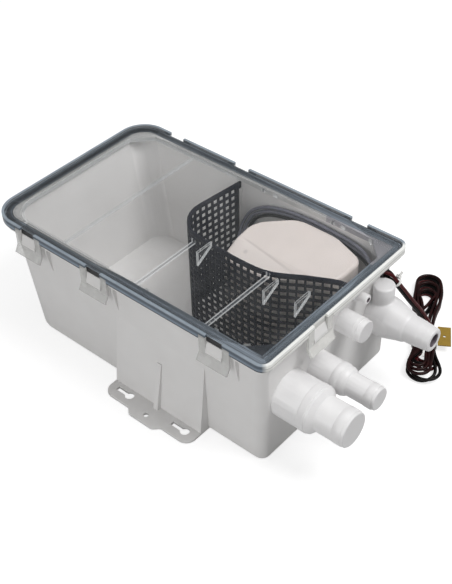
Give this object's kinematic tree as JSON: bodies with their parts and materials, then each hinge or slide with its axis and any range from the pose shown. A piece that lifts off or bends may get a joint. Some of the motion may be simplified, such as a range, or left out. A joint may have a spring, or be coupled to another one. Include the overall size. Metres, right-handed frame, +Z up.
{
  "type": "shower drain pump",
  "caption": "Shower drain sump box with clear clipped lid, stepped hose inlets, curved strainer screen and float-switched pump.",
  "frame": {"origin": "centre of the lid's outline on the plane of the tub's underside", "axes": "+X towards the hose spigots, +Y towards the side with the leads, +Z up"},
  "size_m": [0.342, 0.2907, 0.113],
  "materials": {
    "tub_plastic": "light grey-white moulded plastic",
    "clear_plastic": "clear moulded plastic",
    "gasket_rubber": "dark grey-blue soft seal",
    "port_plastic": "white moulded plastic",
    "black_rubber": "matt",
    "screen_plastic": "near-black moulded plastic",
    "cover_plastic": "warm white moulded plastic",
    "can_steel": "plated steel",
    "magnet": "ferrite",
    "steel": "stainless",
    "bronze": "sintered bronze",
    "lead_black_skin": "glossy wire insulation",
    "lead_brown_skin": "glossy wire insulation",
    "tie_nylon": "natural nylon",
    "tag_yellow": "yellow label stock"
  },
  "bodies": {
    "tub": {"tub_shell": "tub_plastic", "inlet_spigot_large": "port_plastic", "inlet_spigot_medium": "port_plastic", "inlet_spigot_small": "port_plastic", "vent_nipple": "port_plastic", "outlet_valve_body": "port_plastic", "valve_cap": "port_plastic", "valve_seal": "black_rubber", "valve_lock_nut": "port_plastic", "flap_pin": "steel", "strainer_screen": "screen_plastic", "pump_cover": "cover_plastic", "pump_base": "screen_plastic", "volute": "cover_plastic", "discharge_elbow": "cover_plastic", "elbow_sleeve": "black_rubber", "motor_can": "can_steel", "motor_magnets": "magnet", "upper_bush": "bronze", "lower_bush": "bronze", "shaft_seal": "black_rubber", "motor_screws": "steel", "float_pin": "steel", "float_switch": "cover_plastic", "lead_grommet": "black_rubber", "inner_lead_black": "lead_black_skin", "inner_lead_brown": "lead_brown_skin", "inner_lead_striped": "lead_brown_skin", "lead_black": "lead_black_skin", "lead_brown": "lead_brown_skin", "lead_striped": "lead_brown_skin", "lead_hank": "lead_black_skin", "hank_tie": "tie_nylon", "exit_tie": "tie_nylon", "lead_tag": "tag_yellow"},
    "lid": {"lid_cover": "clear_plastic", "lid_gasket": "gasket_rubber"},
    "rotor": {"rotor_shaft": "steel", "armature": "can_steel", "impeller": "screen_plastic"},
    "float": {"switch_float": "screen_plastic"},
    "flap": {"check_flap": "black_rubber"},
    "clip_near_left": {"clip_near_left": "clear_plastic"},
    "clip_near_middle": {"clip_near_middle": "clear_plastic"},
    "clip_near_right": {"clip_near_right": "clear_plastic"},
    "clip_far_left": {"clip_far_left": "clear_plastic"},
    "clip_far_middle": {"clip_far_middle": "clear_plastic"},
    "clip_far_right": {"clip_far_right": "clear_plastic"},
    "clip_end": {"clip_end": "clear_plastic"}
  },
  "joints": [
    {"name": "lid_lift", "type": "slide", "parent": "tub", "child": "lid", "axis": [0, 0, 1], "range_m": [0, 0.12], "deforming": ["clip_near_left", "clip_near_middle", "clip_near_right", "clip_far_left", "clip_far_middle", "clip_far_right", "clip_end"]},
    {"name": "clip_near_left_flex", "type": "hinge", "parent": "lid", "child": "clip_near_left", "pos_m": [-0.1, -0.0891, 0.1103], "axis": [-1, 0, 0], "range_deg": [0, 12], "stiffness_Nm_per_rad": 0.05},
    {"name": "clip_near_middle_flex", "type": "hinge", "parent": "lid", "child": "clip_near_middle", "pos_m": [-0.025, -0.0891, 0.1103], "axis": [-1, 0, 0], "range_deg": [0, 12], "stiffness_Nm_per_rad": 0.05},
    {"name": "clip_near_right_flex", "type": "hinge", "parent": "lid", "child": "clip_near_right", "pos_m": [0.098, -0.0891, 0.1103], "axis": [-1, 0, 0], "range_deg": [0, 12], "stiffness_Nm_per_rad": 0.05},
    {"name": "clip_far_left_flex", "type": "hinge", "parent": "lid", "child": "clip_far_left", "pos_m": [-0.1, 0.0891, 0.1103], "axis": [1, 0, 0], "range_deg": [0, 12], "stiffness_Nm_per_rad": 0.05},
    {"name": "clip_far_middle_flex", "type": "hinge", "parent": "lid", "child": "clip_far_middle", "pos_m": [-0.025, 0.0891, 0.1103], "axis": [1, 0, 0], "range_deg": [0, 12], "stiffness_Nm_per_rad": 0.05},
    {"name": "clip_far_right_flex", "type": "hinge", "parent": "lid", "child": "clip_far_right", "pos_m": [0.098, 0.0891, 0.1103], "axis": [1, 0, 0], "range_deg": [0, 12], "stiffness_Nm_per_rad": 0.05},
    {"name": "clip_end_flex", "type": "hinge", "parent": "lid", "child": "clip_end", "pos_m": [0.1441, -0.025, 0.1103], "axis": [0, -1, 0], "range_deg": [0, 12], "stiffness_Nm_per_rad": 0.05},
    {"name": "impeller_spin", "type": "hinge", "parent": "tub", "child": "rotor", "pos_m": [0.075, 0.038, 0.05], "axis": [0, 0, 1], "continuous": true},
    {"name": "float_swing", "type": "hinge", "parent": "tub", "child": "float", "pos_m": [0.0465, 0.034, 0.034], "axis": [0, 1, 0], "range_deg": [0, 20]},
    {"name": "flap_swing", "type": "hinge", "parent": "tub", "child": "flap", "pos_m": [0.1467, 0.059, 0.0708], "axis": [0, -1, 0], "range_deg": [0, 50]}
  ]
}
